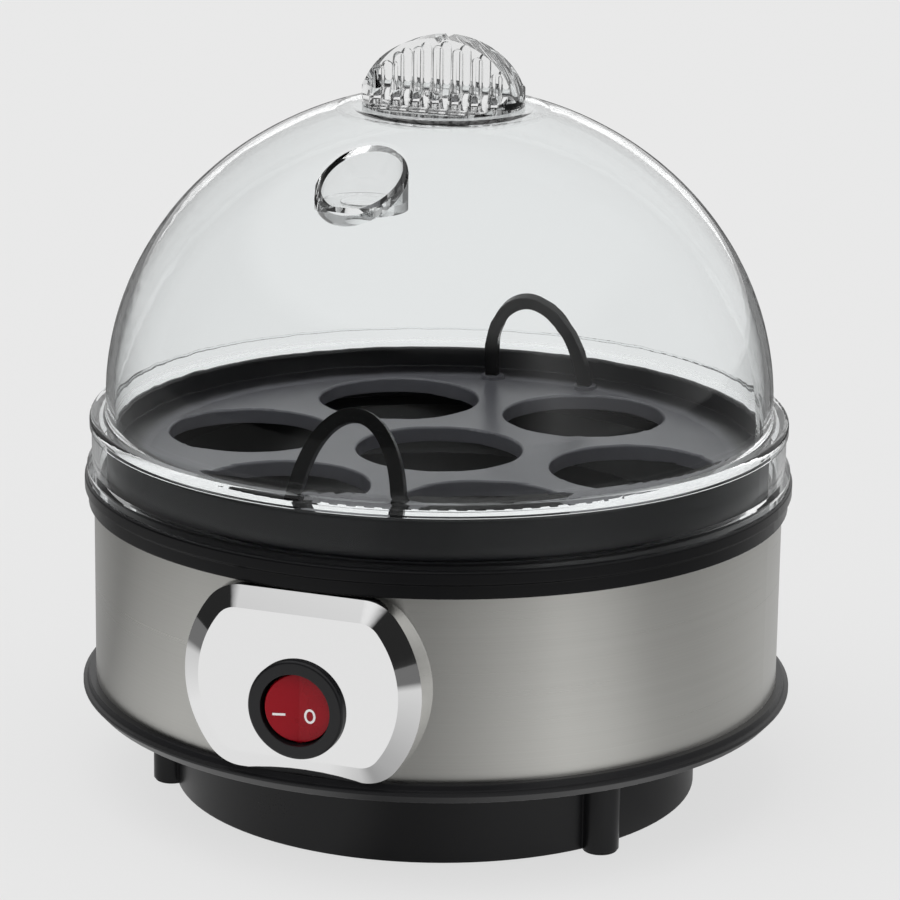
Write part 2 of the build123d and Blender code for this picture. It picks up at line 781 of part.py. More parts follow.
# Earth tag on one of the dish studs
with BuildPart() as earth_tag:
    with BuildSketch(Plane(origin=(earth_x, earth_y, earth_tag_z), x_dir=(-sin(earth_turn), cos(earth_turn), 0))):
        Circle(earth_tag_radius)
        Rectangle(earth_tag_length, earth_tag_width, align=(Align.MIN, Align.CENTER))
        Circle(stud_hole_radius, mode=Mode.SUBTRACT)
    extrude(amount=earth_tag_thickness)
earth_tag.part.label = "earth_tag"
export_step(earth_tag.part, "parts/earth_tag.step")

# Switch plate: a circle cut off at the top and bottom, bevelled all round
plate_half_height = band_height / 2 - plate_edge_gap
bevel_taper = degrees(atan2(plate_bevel_width, plate_bevel_depth))


def plate_outline(inset):
    """The plate's outline drawn in by an even distance."""
    with BuildSketch() as outline:
        Circle(plate_circle_radius - inset)
        Rectangle(2 * plate_circle_radius, 2 * (plate_half_height - inset), mode=Mode.INTERSECT)
        fillet(outline.vertices(), plate_corner - inset)
    return outline.sketch


def front_plane(y):
    """A plane facing forward through the plate's centre."""
    return Plane(origin=(0, y, plate_centre_z), x_dir=(1, 0, 0), z_dir=(0, -1, 0))


plate_edge_y = plate_bevel_depth - plate_face
with BuildPart() as plate_envelope:
    with BuildSketch(front_plane(plate_edge_y)):
        add(plate_outline(0))
    extrude(amount=-band_radius / 2)
    extrude(plate_envelope.faces().sort_by(Axis.Y)[0], amount=plate_bevel_depth, taper=bevel_taper)

with BuildPart() as plate_hollow:
    with BuildSketch(front_plane(plate_edge_y + plate_wall / 2)):
        add(plate_outline(plate_wall))
    extrude(amount=-band_radius / 2)
    extrude(
        plate_hollow.faces().sort_by(Axis.Y)[0],
        amount=plate_bevel_depth - plate_wall / 2,
        taper=bevel_taper,
    )

with BuildPart() as switch_plate:
    add(plate_envelope.part)
    add(plate_hollow.part, mode=Mode.SUBTRACT)
    for side in (-1, 1):
        turn = radians(-90 + side * plate_screw_angle)
        with BuildSketch(Plane(origin=(0, 0, plate_centre_z), z_dir=(cos(turn), sin(turn), 0))):
            Circle(plate_boss_radius)
        extrude(amount=(plate_face - plate_wall / 2) / cos(radians(plate_screw_angle)))
        with BuildSketch(Plane(origin=(0, 0, plate_centre_z), z_dir=(cos(turn), sin(turn), 0))):
            Circle(pilot_radius)
        extrude(amount=band_inner + plate_screw_length, mode=Mode.SUBTRACT)
    with Locations((0, 0, plate_centre_z)):
        Cylinder(band_radius + plate_back_gap, 2 * band_height, mode=Mode.SUBTRACT)
    with BuildSketch(Plane(origin=(0, -band_radius, switch_z), x_dir=(1, 0, 0), z_dir=(0, -1, 0))):
        Circle(switch_body_radius + switch_hole_fit)
    extrude(amount=band_radius, mode=Mode.SUBTRACT)
switch_plate.part.label = "switch_plate"
export_step(switch_plate.part, "parts/switch_plate.step")

with BuildPart() as switch_plate_screws:
    for side in (-1, 1):
        turn = radians(-90 + side * plate_screw_angle)
        seat = Vector(cos(turn), sin(turn), 0) * (band_inner - thread_fit) + Vector(0, 0, plate_centre_z)
        with Locations(Plane(origin=seat, x_dir=(0, 0, 1), z_dir=(cos(turn), sin(turn), 0))):
            add(slotted_screw(plate_screw_length))
switch_plate_screws.part.label = "switch_plate_screws"
export_step(switch_plate_screws.part, "parts/switch_plate_screws.step")

# Switch body with its bezel, rocker well and snap lugs
pivot = Vector(0, pivot_y, switch_z)
well_radius = rocker_radius + rocker_fit
well_depth = rocker_pivot_depth + hypot(rocker_radius, rocker_back) * sin(
    atan2(rocker_back, sqrt(rocker_radius**2 - rocker_back**2)) + radians(rocker_tilt)
) + rocker_floor_gap
front = Plane(origin=(0, -bezel_face, switch_z), x_dir=(1, 0, 0), z_dir=(0, -1, 0))
with BuildPart() as switch_body:
    with BuildSketch(front):
        Circle(bezel_radius)
    extrude(amount=-bezel_height)
    fillet(switch_body.faces().sort_by(Axis.Y)[0].edges(), bezel_round)
    with BuildSketch(front.offset(-bezel_height)):
        Circle(switch_body_radius)
    extrude(amount=-switch_body_length)
    with Locations((0, plate_wall - plate_face, switch_z)):
        Box(
            2 * (switch_body_radius + snap_lug_height),
            switch_body_radius / 2,
            switch_body_radius / 2,
            align=(Align.CENTER, Align.MIN, Align.CENTER),
        )
    with BuildSketch(front):
        Circle(well_radius)
    extrude(amount=-well_depth, mode=Mode.SUBTRACT)
    with Locations(pivot):
        Cylinder(rocker_pin_radius + rocker_pin_fit, 2 * switch_body_radius, mode=Mode.SUBTRACT)
    with BuildSketch(Plane(origin=(0, switch_back_y, switch_z), x_dir=(1, 0, 0), z_dir=(0, -1, 0))):
        with GridLocations(switch_blade_spacing, 1, 2, 1):
            Rectangle(blade_thickness, switch_blade_width)
    extrude(amount=switch_blade_root, mode=Mode.SUBTRACT)
switch_body.part.label = "switch_body"
export_step(switch_body.part, "parts/switch_body.step")

switch_blade_end_y = switch_back_y + switch_blade_length
with BuildPart() as switch_terminals:
    with BuildSketch(Plane(origin=(0, switch_blade_end_y, switch_z), x_dir=(1, 0, 0), z_dir=(0, -1, 0))):
        with GridLocations(switch_blade_spacing, 1, 2, 1):
            Rectangle(blade_thickness, switch_blade_width)
    extrude(amount=switch_blade_length + switch_blade_root)
switch_terminals.part.label = "switch_terminals"
export_step(switch_terminals.part, "parts/switch_terminals.step")

# Rocker, resting with its nought side pressed in
tilt = radians(rocker_tilt)
rocker_half = sqrt(rocker_radius**2 - rocker_end_height**2)
rocker_reach = 1.2 * rocker_radius
dish_angle = radians(rocker_dish_angle)
rocker_centre_height = rocker_end_height - rocker_half * tan(dish_angle)
rocker_along = Vector(cos(tilt), sin(tilt), 0)
rocker_out = Vector(sin(tilt), -cos(tilt), 0)
crease = pivot + rocker_out * rocker_centre_height
left_face = Plane(
    origin=crease,
    x_dir=rocker_along * cos(dish_angle) - rocker_out * sin(dish_angle),
    z_dir=rocker_out * cos(dish_angle) + rocker_along * sin(dish_angle),
)
right_face = Plane(
    origin=crease,
    x_dir=rocker_along * cos(dish_angle) + rocker_out * sin(dish_angle),
    z_dir=rocker_out * cos(dish_angle) - rocker_along * sin(dish_angle),
)
with BuildSketch(left_face) as dash:
    with Locations((dash_place, -mark_drop)):
        Rectangle(dash_length, mark_stroke)
with BuildSketch(right_face) as nought:
    with Locations((nought_place, -mark_drop)):
        Ellipse(nought_width / 2, nought_height / 2)
        Ellipse(nought_width / 2 - mark_stroke, nought_height / 2 - mark_stroke, mode=Mode.SUBTRACT)

with BuildPart() as switch_rocker:
    with Locations(pivot):
        Sphere(rocker_radius)
    with BuildSketch(Plane(origin=pivot, x_dir=rocker_along, z_dir=(0, 0, 1))):
        with BuildLine():
            Polyline(
                (-rocker_reach, -rocker_centre_height - rocker_reach * tan(dish_angle)),
                (0, -rocker_centre_height),
                (rocker_reach, -rocker_centre_height - rocker_reach * tan(dish_angle)),
                (rocker_reach, rocker_back),
                (-rocker_reach, rocker_back),
                close=True,
            )
        make_face()
    extrude(amount=rocker_reach, both=True, mode=Mode.INTERSECT)
    with Locations(pivot):
        Cylinder(rocker_pin_radius, 2 * (switch_body_radius - rocker_pin_end_gap))
    extrude(dash.sketch, amount=-mark_depth, mode=Mode.SUBTRACT)
    extrude(nought.sketch, amount=-mark_depth, mode=Mode.SUBTRACT)
switch_rocker.part.label = "switch_rocker"
export_step(switch_rocker.part, "parts/switch_rocker.step")

with BuildPart() as rocker_marks:
    extrude(dash.sketch, amount=-mark_depth)
    extrude(nought.sketch, amount=-mark_depth)
rocker_marks.part.label = "rocker_marks"
export_step(rocker_marks.part, "parts/rocker_marks.step")

# Egg tray: wall, floor, locating ring and seven holes with lips
locating_radius = recess_radius - locating_fit
edge_slope = tray_edge_rise / (tray_inner - tray_flat_radius)


def edge_rise(radius):
    """How far the sloping edge of the tray's floor has risen at a radius."""
    return max(0, radius - tray_flat_radius) * edge_slope


with BuildPart() as egg_tray:
    with BuildSketch(Plane.XZ):
        with BuildLine():
            Polyline(
                (0, tray_under_z),
                (tray_flat_radius, tray_under_z),
                (locating_radius - locating_wall, tray_under_z + edge_rise(locating_radius - locating_wall)),
                (locating_radius - locating_wall, ledge_z - locating_depth),
                (locating_radius, ledge_z - locating_depth),
                (locating_radius, tray_under_z + edge_rise(locating_radius)),
                (tray_inner, tray_under_z + edge_rise(tray_inner)),
                (tray_inner, seat_z),
                (tray_radius, seat_z),
                (tray_radius, tray_rim_z),
                (tray_inner, tray_rim_z),
                (tray_inner, tray_floor_z + tray_edge_rise),
                (tray_flat_radius, tray_floor_z),
                (0, tray_floor_z),
                close=True,
            )
        make_face()
    revolve(axis=Axis.Z)
    fillet(
        ring_edges(egg_tray, tray_radius, tray_rim_z) + ring_edges(egg_tray, tray_inner, tray_rim_z),
        tray_wall * 0.4,
    )
    with Locations((0, 0, tray_under_z)):
        Cylinder(egg_hole_radius + egg_lip_wall, egg_lip_depth, align=top_down)
        with PolarLocations(egg_hole_pitch, egg_hole_count, start_angle=first_egg_angle):
            Cylinder(egg_hole_radius + egg_lip_wall, egg_lip_depth, align=top_down)
    for angle in (front_handle_angle, rear_handle_angle):
        turn = radians(angle)
        foot = Vector(cos(turn), sin(turn), 0) * handle_ring_radius
        with Locations(Location(foot + Vector(0, 0, tray_floor_z - tray_floor_thickness / 2), (0, 0, angle))):
            with GridLocations(1, 2 * handle_half_span - handle_width, 1, 2):
                Cylinder(handle_boss_radius, handle_boss_height + tray_floor_thickness / 2, align=bottom_up)
        with Locations(Location(foot + Vector(0, 0, loop_seat_z), (0, 0, angle))):
            with GridLocations(1, 2 * handle_half_span - handle_width, 1, 2):
                Cylinder(
                    handle_peg_radius + handle_peg_fit,
                    2 * (handle_boss_height + tray_floor_thickness),
                    align=top_down,
                    mode=Mode.SUBTRACT,
                )
    with Locations((0, 0, tray_floor_z)):
        Cylinder(
            egg_hole_radius, tray_floor_thickness + egg_lip_depth, align=top_down, mode=Mode.SUBTRACT
        )
        with PolarLocations(egg_hole_pitch, egg_hole_count, start_angle=first_egg_angle):
            Cylinder(
                egg_hole_radius, tray_floor_thickness + egg_lip_depth, align=top_down, mode=Mode.SUBTRACT
            )
    fillet(ring_edges(egg_tray, egg_hole_radius, tray_floor_z), egg_hole_round)
egg_tray.part.label = "egg_tray"
export_step(egg_tray.part, "parts/egg_tray.step")


def lifting_loop(angle):
    """A flat half ellipse that leans in over the tray, with two pegs below."""
    lean, turn = radians(handle_lean), radians(angle)
    outwards = Vector(cos(turn), sin(turn), 0)
    upright = Vector(0, 0, 1)
    seat = outwards * handle_ring_radius + upright * loop_seat_z
    upwards = upright * cos(lean) - outwards * sin(lean)
    across = upright.cross(outwards)
    with BuildPart() as loop:
        with BuildSketch(Plane(origin=seat, x_dir=across, z_dir=across.cross(upwards))):
            Ellipse(handle_half_span, handle_length)
            Rectangle(2 * handle_half_span, handle_length, align=(Align.CENTER, Align.MIN), mode=Mode.INTERSECT)
            Rectangle(2 * handle_half_span, handle_depth, align=(Align.CENTER, Align.MAX))
            Ellipse(handle_half_span - handle_width, handle_length - handle_width, mode=Mode.SUBTRACT)
            Rectangle(
                2 * (handle_half_span - handle_width),
                handle_depth,
                align=(Align.CENTER, Align.MAX),
                mode=Mode.SUBTRACT,
            )
        extrude(amount=handle_depth / 2, both=True)
        split(bisect_by=Plane.XY.offset(loop_seat_z), keep=Keep.TOP)
        with Locations(Location(seat, (0, 0, angle))):
            with GridLocations(1, 2 * handle_half_span - handle_width, 1, 2):
                Cylinder(handle_peg_radius, handle_boss_height + tray_floor_thickness, align=top_down)
    return loop


front_tray_handle = lifting_loop(front_handle_angle)
front_tray_handle.part.label = "front_tray_handle"
export_step(front_tray_handle.part, "parts/front_tray_handle.step")

rear_tray_handle = lifting_loop(rear_handle_angle)
rear_tray_handle.part.label = "rear_tray_handle"
export_step(rear_tray_handle.part, "parts/rear_tray_handle.step")


# Lid: an elliptical dome on a straight ring, with a flange and a skirt
def dome_body(shrink):
    """The dome as a filled body, drawn in evenly by a wall."""
    radius = dome_radius - shrink
    with BuildPart() as body:
        with BuildSketch(Plane.XZ):
            with Locations((0, dome_base_z)):
                Ellipse(radius, dome_rise - shrink)
                Rectangle(
                    radius,
                    dome_top_z - shrink - dome_base_z,
                    align=(Align.MIN, Align.MIN),
                    mode=Mode.INTERSECT,
                )
                Rectangle(radius, dome_straight, align=(Align.MIN, Align.MAX))
        revolve(axis=Axis.Z)
        fillet(body.faces().sort_by(Axis.Z)[-1].edges(), dome_top_round)
    return body.part


vent_turn = radians(vent_angle)
vent_x = vent_ring_radius * cos(vent_turn)
vent_y = vent_ring_radius * sin(vent_turn)
with BuildPart() as vent_cup:
    add(dome_body(0))
    with Locations((vent_x, vent_y, vent_floor_z - lid_wall)):
        Cylinder(vent_radius + vent_wall, dome_rise, align=bottom_up, mode=Mode.INTERSECT)

flange_top_z = skirt_top_z + lid_flange_thickness
with BuildPart() as lid_dome:
    add(dome_body(0))
    with BuildSketch(Plane.XZ):
        with BuildLine():
            Polyline(
                (dome_inner, skirt_top_z),
                (dome_inner, flange_top_z),
                (lid_flange_radius, flange_top_z),
                (lid_flange_radius, skirt_top_z),
                (lid_skirt_radius, skirt_top_z),
                (lid_skirt_radius, seat_z + lid_bead_height + lid_bead_reach / 2),
                (lid_skirt_radius + lid_bead_reach, seat_z + lid_bead_height),
                (lid_skirt_radius + lid_bead_reach, seat_z),
                (lid_skirt_radius - lid_skirt_wall, seat_z),
                (lid_skirt_radius - lid_skirt_wall, skirt_top_z),
                close=True,
            )
        make_face()
    revolve(axis=Axis.Z)
    fillet(ring_edges(lid_dome, lid_flange_radius, flange_top_z), lid_flange_round)
    fillet(ring_edges(lid_dome, dome_radius, flange_top_z), lid_flange_round)
    add(dome_body(lid_wall), mode=Mode.SUBTRACT)
    add(vent_cup.part)
    with Locations((vent_x, vent_y, vent_floor_z)):
        Cylinder(vent_radius, dome_rise, align=bottom_up, mode=Mode.SUBTRACT)
        Cylinder(vent_hole_radius, lid_wall, align=top_down, mode=Mode.SUBTRACT)
    with Locations((0, 0, dome_top_z)):
        Cylinder(knob_peg_radius + thread_fit, lid_wall, align=top_down, mode=Mode.SUBTRACT)
lid_dome.part.label = "lid_dome"
export_step(lid_dome.part, "parts/lid_dome.step")

# Knob: a fluted fin that spreads into a round foot
knob_top_z = knob_z + knob_height
flute_count = 2 * int((knob_radius - flute_radius - flute_margin / 2) / flute_pitch) + 1
with BuildPart() as lid_knob:
    with BuildSketch(Plane.XZ):
        with Locations((0, knob_z)):
            Ellipse(knob_radius, knob_height)
            Rectangle(2 * knob_radius, knob_height, align=(Align.CENTER, Align.MIN), mode=Mode.INTERSECT)
        with Locations((0, knob_top_z)):
            Rectangle(2 * knob_notch, 2 * knob_notch, rotation=45, mode=Mode.SUBTRACT)
    extrude(amount=knob_radius, both=True)
    with BuildSketch(Plane.YZ):
        with BuildLine():
            foot = Line((0, knob_z), (knob_radius, knob_z))
            edge = Line(foot @ 1, (knob_radius, knob_z + knob_foot_height))
            flare = ThreePointArc(
                edge @ 1,
                (
                    knob_fin_low + 0.3 * (knob_radius - knob_fin_low),
                    knob_z + knob_foot_height + 0.3 * (knob_flare_height - knob_foot_height),
                ),
                (knob_fin_low, knob_z + knob_flare_height),
            )
            fin = Line(flare @ 1, (knob_fin_high, knob_top_z))
            Line(fin @ 1, (0, knob_top_z))
            mirror(about=Plane.YZ)
        make_face()
    extrude(amount=knob_radius, both=True, mode=Mode.INTERSECT)
    with Locations((0, 0, knob_z)):
        Cylinder(knob_radius, knob_height, align=bottom_up, mode=Mode.INTERSECT)
    for index in range(flute_count):
        flute_x = (index - (flute_count - 1) / 2) * flute_pitch
        flute_top = knob_height * sqrt(1 - (flute_x / knob_radius) ** 2) - flute_margin
        for side in (-1, 1):
            with Locations((flute_x, side * (knob_fin_low - flute_depth + flute_radius), knob_z + knob_foot_height)):
                Cylinder(flute_radius, flute_top - knob_foot_height, align=bottom_up, mode=Mode.SUBTRACT)
                with Locations((0, 0, flute_top - knob_foot_height)):
                    Sphere(flute_radius, mode=Mode.SUBTRACT)
    with Locations((0, 0, knob_z)):
        Cylinder(knob_peg_radius, lid_wall + knob_gap, align=top_down)
lid_knob.part.label = "lid_knob"
export_step(lid_knob.part, "parts/lid_knob.step")

# Inlet bush for the mains cord
bush_face = pedestal_radius + inlet_boss_out
with BuildPart() as cord_inlet:
    with BuildSketch(rear_plane(bush_face, cord_z)):
        Circle(inlet_flange_radius)
    extrude(amount=inlet_flange_thickness)
    with BuildSketch(rear_plane(bush_face, cord_z)):
        Circle(inlet_neck_radius)
    extrude(amount=-inlet_boss_length)
    with BuildSketch(rear_plane(bush_face - inlet_boss_length, cord_z)):
        Circle(inlet_catch_radius)
    extrude(amount=-inlet_catch_thickness)
    with BuildSketch(rear_plane(bush_face + inlet_flange_thickness, cord_z)):
        Circle(inlet_bore_radius)
    extrude(amount=-(inlet_flange_thickness + inlet_boss_length + inlet_catch_thickness), mode=Mode.SUBTRACT)
cord_inlet.part.label = "cord_inlet"
export_step(cord_inlet.part, "parts/cord_inlet.step")

# Cord clamp bar and its screws
with BuildPart() as cord_clamp:
    with Locations(rear):
        with Locations((0, clamp_ring_radius, clamp_z)):
            Box(clamp_length, clamp_width, clamp_thickness, align=top_down)
            with GridLocations(clamp_spacing, 1, 2, 1):
                Cylinder(screw_hole_radius, clamp_thickness, align=top_down, mode=Mode.SUBTRACT)
        with Locations(Location((0, clamp_ring_radius, clamp_z - clamp_groove + cord_radius), (90, 0, 0))):
            Cylinder(cord_radius, clamp_width, mode=Mode.SUBTRACT)
cord_clamp.part.label = "cord_clamp"
export_step(cord_clamp.part, "parts/cord_clamp.step")

with BuildPart() as clamp_screws:
    with Locations(rear):
        with Locations((0, clamp_ring_radius, clamp_z - clamp_thickness)):
            with GridLocations(clamp_spacing, 1, 2, 1):
                add(slotted_screw(clamp_screw_length))
clamp_screws.part.label = "clamp_screws"
export_step(clamp_screws.part, "parts/clamp_screws.step")

# Terminal block: three ways, each with a bore and a screw from above
block_middle_z = web_z + block_height / 2
block_screw_length = block_height / 2 - lead_radius - thread_fit
with BuildPart() as terminal_block:
    with Locations(rear):
        with Locations((0, block_ring_radius, web_z)):
            Box(block_length, block_width, block_height, align=bottom_up)
            with GridLocations(block_length - 2 * block_peg_inset, 1, 2, 1):
                Cylinder(block_peg_radius, flange_web, align=top_down)
        with Locations((0, block_ring_radius, web_z + block_height)):
            with GridLocations(block_pitch, 1, 2, 1):
                Box(block_slot_width, block_width, block_slot_depth, align=top_down, mode=Mode.SUBTRACT)
            with GridLocations(block_pitch, 1, 3, 1):
                Cylinder(block_screw_radius + thread_fit, block_height / 2, align=top_down, mode=Mode.SUBTRACT)
        with Locations(Location((0, block_ring_radius, block_middle_z), (90, 0, 0))):
            with GridLocations(block_pitch, 1, 3, 1):
                Cylinder(block_bore, block_width, mode=Mode.SUBTRACT)
terminal_block.part.label = "terminal_block"
export_step(terminal_block.part, "parts/terminal_block.step")

with BuildPart() as terminal_screws:
    with Locations(rear):
        with Locations((0, block_ring_radius, web_z + block_height)):
            with GridLocations(block_pitch, 1, 3, 1):
                Cylinder(block_screw_radius, block_screw_length, align=top_down)
                Box(2 * block_screw_radius, screw_slot_width, screw_slot_depth, align=top_down, mode=Mode.SUBTRACT)
terminal_screws.part.label = "terminal_screws"
export_step(terminal_screws.part, "parts/terminal_screws.step")

# Internal leads
block_inner = block_ring_radius - block_width / 2
lead_low_z = block_middle_z - 3.2 * lead_radius
lead_mid_z = block_middle_z + lead_radius
lead_high_z = lead_mid_z + 3 * lead_radius
fuse_end = fuse_wire_span / 2
fuse_turn = fuse_end + lead_straight
blade_x = thermostat_blade_spacing / 2
pin_ends = [end - Vector(0, 0, pin_length) for end in tube_ends]


def block_way(way):
    """The first two points of a lead that leaves one way of the block inwards."""
    x = way * block_pitch
    return [
        rear_point(x, block_inner + lead_entry, block_middle_z),
        rear_point(x, block_inner - lead_straight - lead_entry, block_middle_z),
    ]


lead_block_switch = lead(
    block_way(0)
    + [
        (-switch_lead_x, -switch_lead_y, lead_high_z - lead_radius),
        (-switch_blade_spacing / 2, switch_blade_end_y + switch_lead_run, switch_z),
        (-switch_blade_spacing / 2, switch_blade_end_y, switch_z),
    ]
)
lead_block_switch.part.label = "lead_block_switch"
export_step(lead_block_switch.part, "parts/lead_block_switch.step")

lead_switch_thermostat = lead(
    [
        (switch_blade_spacing / 2, switch_blade_end_y, switch_z),
        (switch_blade_spacing / 2, switch_blade_end_y + switch_lead_run, switch_z),
        (-blade_x, -blade_lead_y, blade_end_z - blade_lead_drop),
        (-blade_x, 0, blade_end_z - blade_lead_drop),
        (-blade_x, 0, blade_end_z),
    ]
)
lead_switch_thermostat.part.label = "lead_switch_thermostat"
export_step(lead_switch_thermostat.part, "parts/lead_switch_thermostat.step")

lead_thermostat_fuse = lead(
    [
        (blade_x, 0, blade_end_z),
        (blade_x, 0, lead_high_z),
        (-fuse_turn, fuse_offset, lead_high_z),
        (-fuse_turn, fuse_offset, fuse_z),
        (-fuse_end, fuse_offset, fuse_z),
    ]
)
lead_thermostat_fuse.part.label = "lead_thermostat_fuse"
export_step(lead_thermostat_fuse.part, "parts/lead_thermostat_fuse.step")

lead_fuse_heater = lead(
    [
        (fuse_end, fuse_offset, fuse_z),
        (fuse_turn, fuse_offset, fuse_z),
        (fuse_turn, fuse_offset, lead_mid_z),
        (pin_ends[1].X, pin_ends[1].Y, lead_mid_z),
        (pin_ends[1].X, pin_ends[1].Y, pin_ends[1].Z),
    ]
)
lead_fuse_heater.part.label = "lead_fuse_heater"
export_step(lead_fuse_heater.part, "parts/lead_fuse_heater.step")

lead_heater_block = lead(
    [
        (pin_ends[0].X, pin_ends[0].Y, pin_ends[0].Z),
        (pin_ends[0].X, pin_ends[0].Y, lead_low_z),
        (heater_lead_x, heater_lead_y, lead_low_z),
    ]
    + block_way(1)[::-1]
)
lead_heater_block.part.label = "lead_heater_block"
export_step(lead_heater_block.part, "parts/lead_heater_block.step")

tag_x = earth_x - sin(earth_turn) * (earth_tag_length - 2)
tag_y = earth_y + cos(earth_turn) * (earth_tag_length - 2)
lead_earth = lead(
    block_way(-1)
    + [
        (-earth_lead_x, earth_lead_y, lead_high_z + lead_radius),
        (tag_x, tag_y, shield_z),
        (tag_x, tag_y, earth_tag_z),
    ]
)
lead_earth.part.label = "lead_earth"
export_step(lead_earth.part, "parts/lead_earth.step")
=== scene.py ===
import bmesh
import bpy
import json
from math import cos, pi, radians, sin
from mathutils import Matrix, Vector

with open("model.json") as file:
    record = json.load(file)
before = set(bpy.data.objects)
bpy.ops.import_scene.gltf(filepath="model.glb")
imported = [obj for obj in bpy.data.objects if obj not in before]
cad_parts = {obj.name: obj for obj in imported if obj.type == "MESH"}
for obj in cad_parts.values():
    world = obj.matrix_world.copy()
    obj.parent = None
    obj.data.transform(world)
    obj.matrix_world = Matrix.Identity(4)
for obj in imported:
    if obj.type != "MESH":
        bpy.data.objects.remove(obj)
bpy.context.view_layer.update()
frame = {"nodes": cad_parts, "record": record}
print("frame loaded", len(frame["nodes"]), "nodes")


# Camera: where the photograph was taken from
cameraFacts = {
    "target": (0, 0, 0.060),
    "distance": 0.9691,
    "turn": 20.7,                    # degrees round the object, towards its right
    "elevation": 16.87,
    "roll": -0.746,
    "picture": 900,                  # pixels along each side
    "focal": 3914.6,                 # pixels
    "targetAt": (437.77, 542.58),    # the pixel that shows the target
    "sensor": 36,
    "clip": (0.05, 30),
}


def placeCamera(facts):
    turn, rise, roll = radians(facts["turn"]), radians(facts["elevation"]), radians(facts["roll"])
    back = Vector((sin(turn) * cos(rise), -cos(turn) * cos(rise), sin(rise)))
    right = Vector((cos(turn), sin(turn), 0))
    up = back.cross(right)
    rightRolled = cos(roll) * right - sin(roll) * up
    upRolled = sin(roll) * right + cos(roll) * up
    # The camera is aimed past the target, so that the target lands on its pixel without a shift
    middle = facts["picture"] / 2
    across = middle - facts["targetAt"][0]
    above = facts["targetAt"][1] - middle
    ahead = (across * rightRolled + above * upRolled - facts["focal"] * back).normalized()
    upward = (upRolled - upRolled.dot(ahead) * ahead).normalized()
    side = ahead.cross(upward)
    data = bpy.data.cameras.new("camera")
    data.sensor_width = facts["sensor"]
    data.lens = facts["focal"] / facts["picture"] * facts["sensor"]
    data.clip_start, data.clip_end = facts["clip"]
    camera = bpy.data.objects.new("camera", data)
    bpy.context.scene.collection.objects.link(camera)
    turned = Matrix((side, upward, -ahead)).transposed().to_4x4()
    camera.matrix_world = Matrix.Translation(Vector(facts["target"]) + facts["distance"] * back) @ turned
    bpy.context.scene.camera = camera


placeCamera(cameraFacts)
bpy.context.scene.view_settings.view_transform = "Standard"
print("camera placed")


# Shader nodes: a value that can be reckoned with, and one finish for each material
class Value:
    def __init__(self, finish, socket):
        self.finish, self.socket = finish, socket

    def reckon(self, operation, first, second):
        return self.finish.node("Math", {"operation": operation}, {0: first, 1: second})

    def __add__(self, other):
        return self.reckon("ADD", self, other)

    def __radd__(self, other):
        return self.reckon("ADD", other, self)

    def __sub__(self, other):
        return self.reckon("SUBTRACT", self, other)

    def __rsub__(self, other):
        return self.reckon("SUBTRACT", other, self)

    def __mul__(self, other):
        return self.reckon("MULTIPLY", self, other)

    def __rmul__(self, other):
        return self.reckon("MULTIPLY", other, self)

    def __truediv__(self, other):
        return self.reckon("DIVIDE", self, other)

    def __or__(self, other):
        return self.reckon("MAXIMUM", self, other)

    def turnFrom(self, other):
        return self.reckon("ARCTAN2", self, other)


class Finish:
    def __init__(self, name, owner=None):
        self.owner = owner or bpy.data.materials.new(name)
        self.owner.use_nodes = True
        self.tree = self.owner.node_tree
        self.tree.nodes.clear()

    def node(self, kind, settings=None, sockets=None, output=0):
        made = self.tree.nodes.new("ShaderNode" + kind)
        for key, value in (settings or {}).items():
            if key == "stops":
                ramp = made.color_ramp
                while len(ramp.elements) < len(value):
                    ramp.elements.new(0.5)
                for element, (place, level) in zip(ramp.elements, value):
                    element.position = place
                    element.color = grey(level)
            else:
                setattr(made, key, value)
        for key, value in (sockets or {}).items():
            if isinstance(value, Value):
                self.tree.links.new(value.socket, made.inputs[key])
            else:
                made.inputs[key].default_value = value
        return Value(self, made.outputs[output])

    def principled(self, sockets):
        return self.node("BsdfPrincipled", {}, sockets)

    def spot(self, kind="Object"):
        return self.node("TexCoord", output=kind)

    def split(self, vector, axes):
        return [self.node("SeparateXYZ", {}, {0: vector}, output=axis) for axis in axes]

    def length(self, vector):
        return self.node("VectorMath", {"operation": "LENGTH"}, {0: vector}, output=1)

    def noise(self, size, detail=2, scale=(1, 1, 1)):
        place = self.node("Mapping", {}, {"Vector": self.spot(), "Scale": scale})
        return self.node("TexNoise", {}, {"Vector": place, "Scale": size, "Detail": detail, "Roughness": 0.5})

    def ramp(self, value, stops):
        return self.node("ValToRGB", {"stops": stops}, {0: value})

    # Light levels round the upright axis: degrees from the switch's side, counted to the right
    def roundRamp(self, x, y, levels):
        turn = x.turnFrom(0 - y) / (2 * pi) + 0.5
        return self.ramp(turn, [(degree / 360 + 0.5, level) for degree, level in levels])

    def mix(self, share, first, second):
        return self.node("Mix", {"data_type": "RGBA"}, {0: share, 6: first, 7: second}, output=2)

    def mixShader(self, share, first, second):
        return self.node("MixShader", {}, {0: share, 1: first, 2: second})

    def bump(self, height, depth, strength, under=None):
        sockets = {"Height": height, "Distance": depth, "Strength": strength}
        if under is not None:
            sockets["Normal"] = under
        return self.node("Bump", {}, sockets)

    def rounded(self, radius):
        return self.node("Bevel", {"samples": 4}, {"Radius": radius})

    def anyRay(self, *kinds):
        rays = [self.node("LightPath", output="Is " + kind + " Ray") for kind in kinds]
        found = rays[0]
        for ray in rays[1:]:
            found = found | ray
        return found

    def out(self, shader):
        kind = "OutputWorld" if isinstance(self.owner, bpy.types.World) else "OutputMaterial"
        end = self.tree.nodes.new("ShaderNode" + kind)
        self.tree.links.new(shader.socket, end.inputs["Surface"])
        return self.owner


def colour(r, g, b):
    return (r, g, b, 1)


def grey(level):
    return colour(level, level, level)


def scaled(shade, factor):
    return colour(*[min(1, part * factor) for part in shade])


